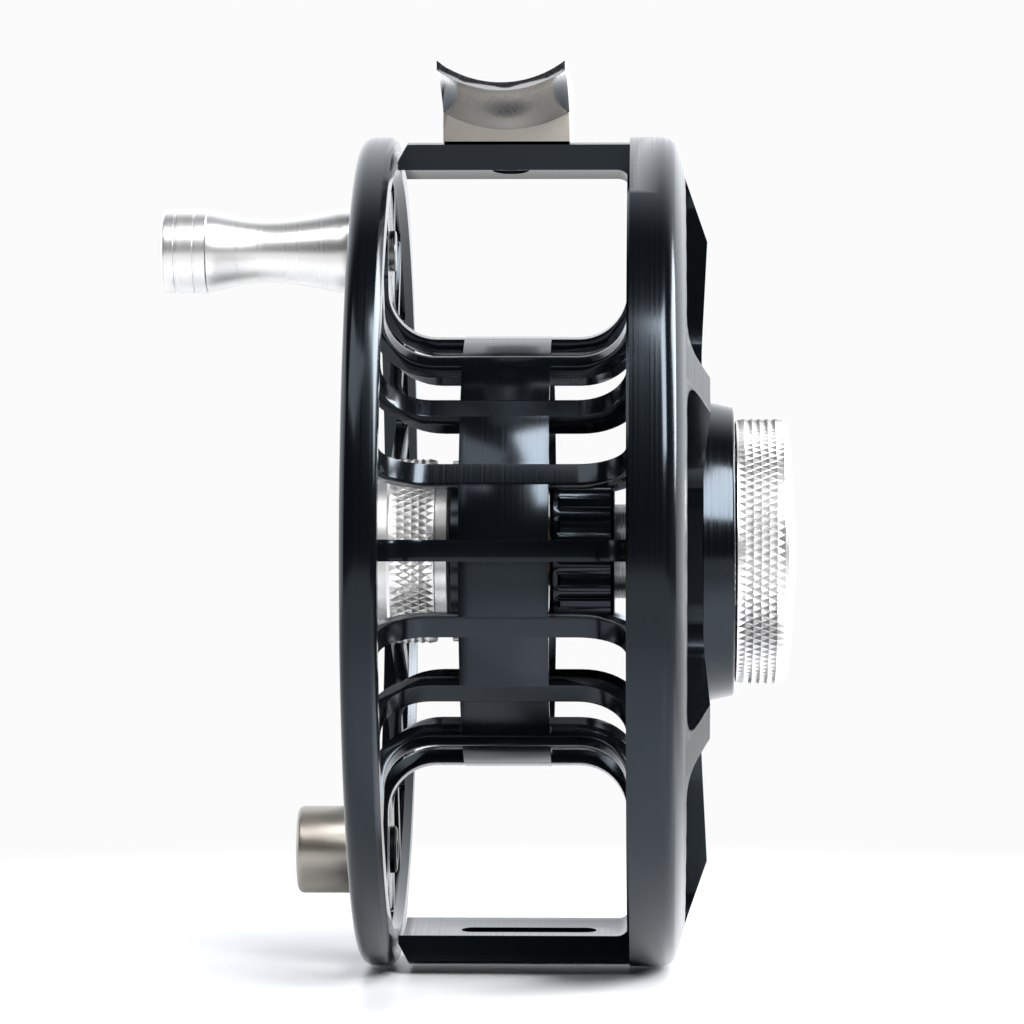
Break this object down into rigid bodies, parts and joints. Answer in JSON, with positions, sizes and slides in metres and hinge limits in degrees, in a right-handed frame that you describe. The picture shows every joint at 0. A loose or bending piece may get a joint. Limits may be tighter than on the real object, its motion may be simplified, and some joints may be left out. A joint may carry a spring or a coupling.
{
  "type": "fly reel",
  "caption": "Large-arbor fly reel: an open-fingered spool in a half-cage frame, with a waisted handle, counterweight, knurled drag knob and a trough-shaped reel foot.",
  "frame": {"origin": "middle of the reel foot's trough, where the rod's reel seat touches it", "axes": "+Z out of the foot towards the rod, +X along the axle towards the drag knob, +Y along the rod"},
  "size_m": [0.0725, 0.095, 0.1016],
  "materials": {
    "black_anodised": "black anodised, polished",
    "bright_aluminium": "clear anodised, turned",
    "foot_steel": "polished",
    "satin_nickel": "satin",
    "steel": "ground",
    "dark_screw": "blackened",
    "grey_cover": "black anodised, matt",
    "bronze": "turned",
    "seal_rubber": "matt",
    "friction_disc": "matt"
  },
  "bodies": {
    "frame": {"frame": "black_anodised", "reel_foot": "foot_steel", "foot_screws": "steel", "spindle": "steel", "spindle_nut": "steel", "knob_retainer": "steel", "drag_housing": "black_anodised", "drag_cover": "grey_cover", "housing_screws": "steel", "shaft_seal": "seal_rubber", "friction_disc_inner": "friction_disc"},
    "brake_rotor": {"brake_rotor": "steel"},
    "drag_hub": {"drag_hub": "black_anodised", "roller_clutch": "steel", "clutch_retaining_ring": "steel"},
    "pressure_set": {"thrust_washer": "steel", "push_pins": "steel", "pressure_plate": "steel", "friction_disc_outer": "friction_disc", "spring_washers": "steel"},
    "drag_knob": {"drag_knob": "bright_aluminium", "knob_cap": "bright_aluminium", "adjuster_ring": "steel", "click_balls": "steel", "click_springs": "steel"},
    "sleeve": {"bearing_sleeve": "bronze", "bearing_spacer": "steel", "bearing_inner_races": "steel", "bearing_balls": "steel"},
    "spool": {"spool": "black_anodised", "bearing_outer_races": "steel", "bearing_retaining_ring": "steel", "handle_spindle": "steel", "handle_screw": "steel", "handle_washer": "bright_aluminium", "counterweight": "satin_nickel", "counterweight_screw": "dark_screw"},
    "release_cap": {"release_cap": "bright_aluminium", "cap_o_ring": "seal_rubber"},
    "handle": {"handle_knob": "bright_aluminium", "handle_bushes": "bronze"}
  },
  "joints": [
    {"name": "spool_release", "type": "slide", "parent": "frame", "child": "sleeve", "axis": [-1, 0, 0], "range_m": [0, 0.045]},
    {"name": "spool_spin", "type": "hinge", "parent": "sleeve", "child": "spool", "pos_m": [0, 0, -0.0516], "axis": [1, 0, 0], "continuous": true},
    {"name": "handle_spin", "type": "hinge", "parent": "spool", "child": "handle", "pos_m": [-0.028, 0, -0.0171], "axis": [1, 0, 0], "continuous": true},
    {"name": "release_cap_turn", "type": "hinge", "parent": "sleeve", "child": "release_cap", "pos_m": [0, 0, -0.0516], "axis": [-1, 0, 0], "range_deg": [0, 90]},
    {"name": "drag_hub_spin", "type": "hinge", "parent": "frame", "child": "drag_hub", "pos_m": [0, 0, -0.0516], "axis": [1, 0, 0], "continuous": true},
    {"name": "brake_rotor_spin", "type": "hinge", "parent": "frame", "child": "brake_rotor", "pos_m": [0, 0, -0.0516], "axis": [1, 0, 0], "continuous": true},
    {"name": "drag_knob_turn", "type": "hinge", "parent": "frame", "child": "drag_knob", "pos_m": [0.028, 0, -0.0516], "axis": [-1, 0, 0], "range_deg": [0, 330]},
    {"name": "pressure_slide", "type": "slide", "parent": "frame", "child": "pressure_set", "axis": [-1, 0, 0], "range_m": [0, 0.0004]}
  ],
  "couplings": [
    {"joint": "drag_hub_spin", "follows": "spool_spin", "ratio": 1},
    {"joint": "brake_rotor_spin", "follows": "spool_spin", "ratio": 1},
    {"joint": "pressure_slide", "follows": "drag_knob_turn", "m_per_rad": 0.000069}
  ]
}
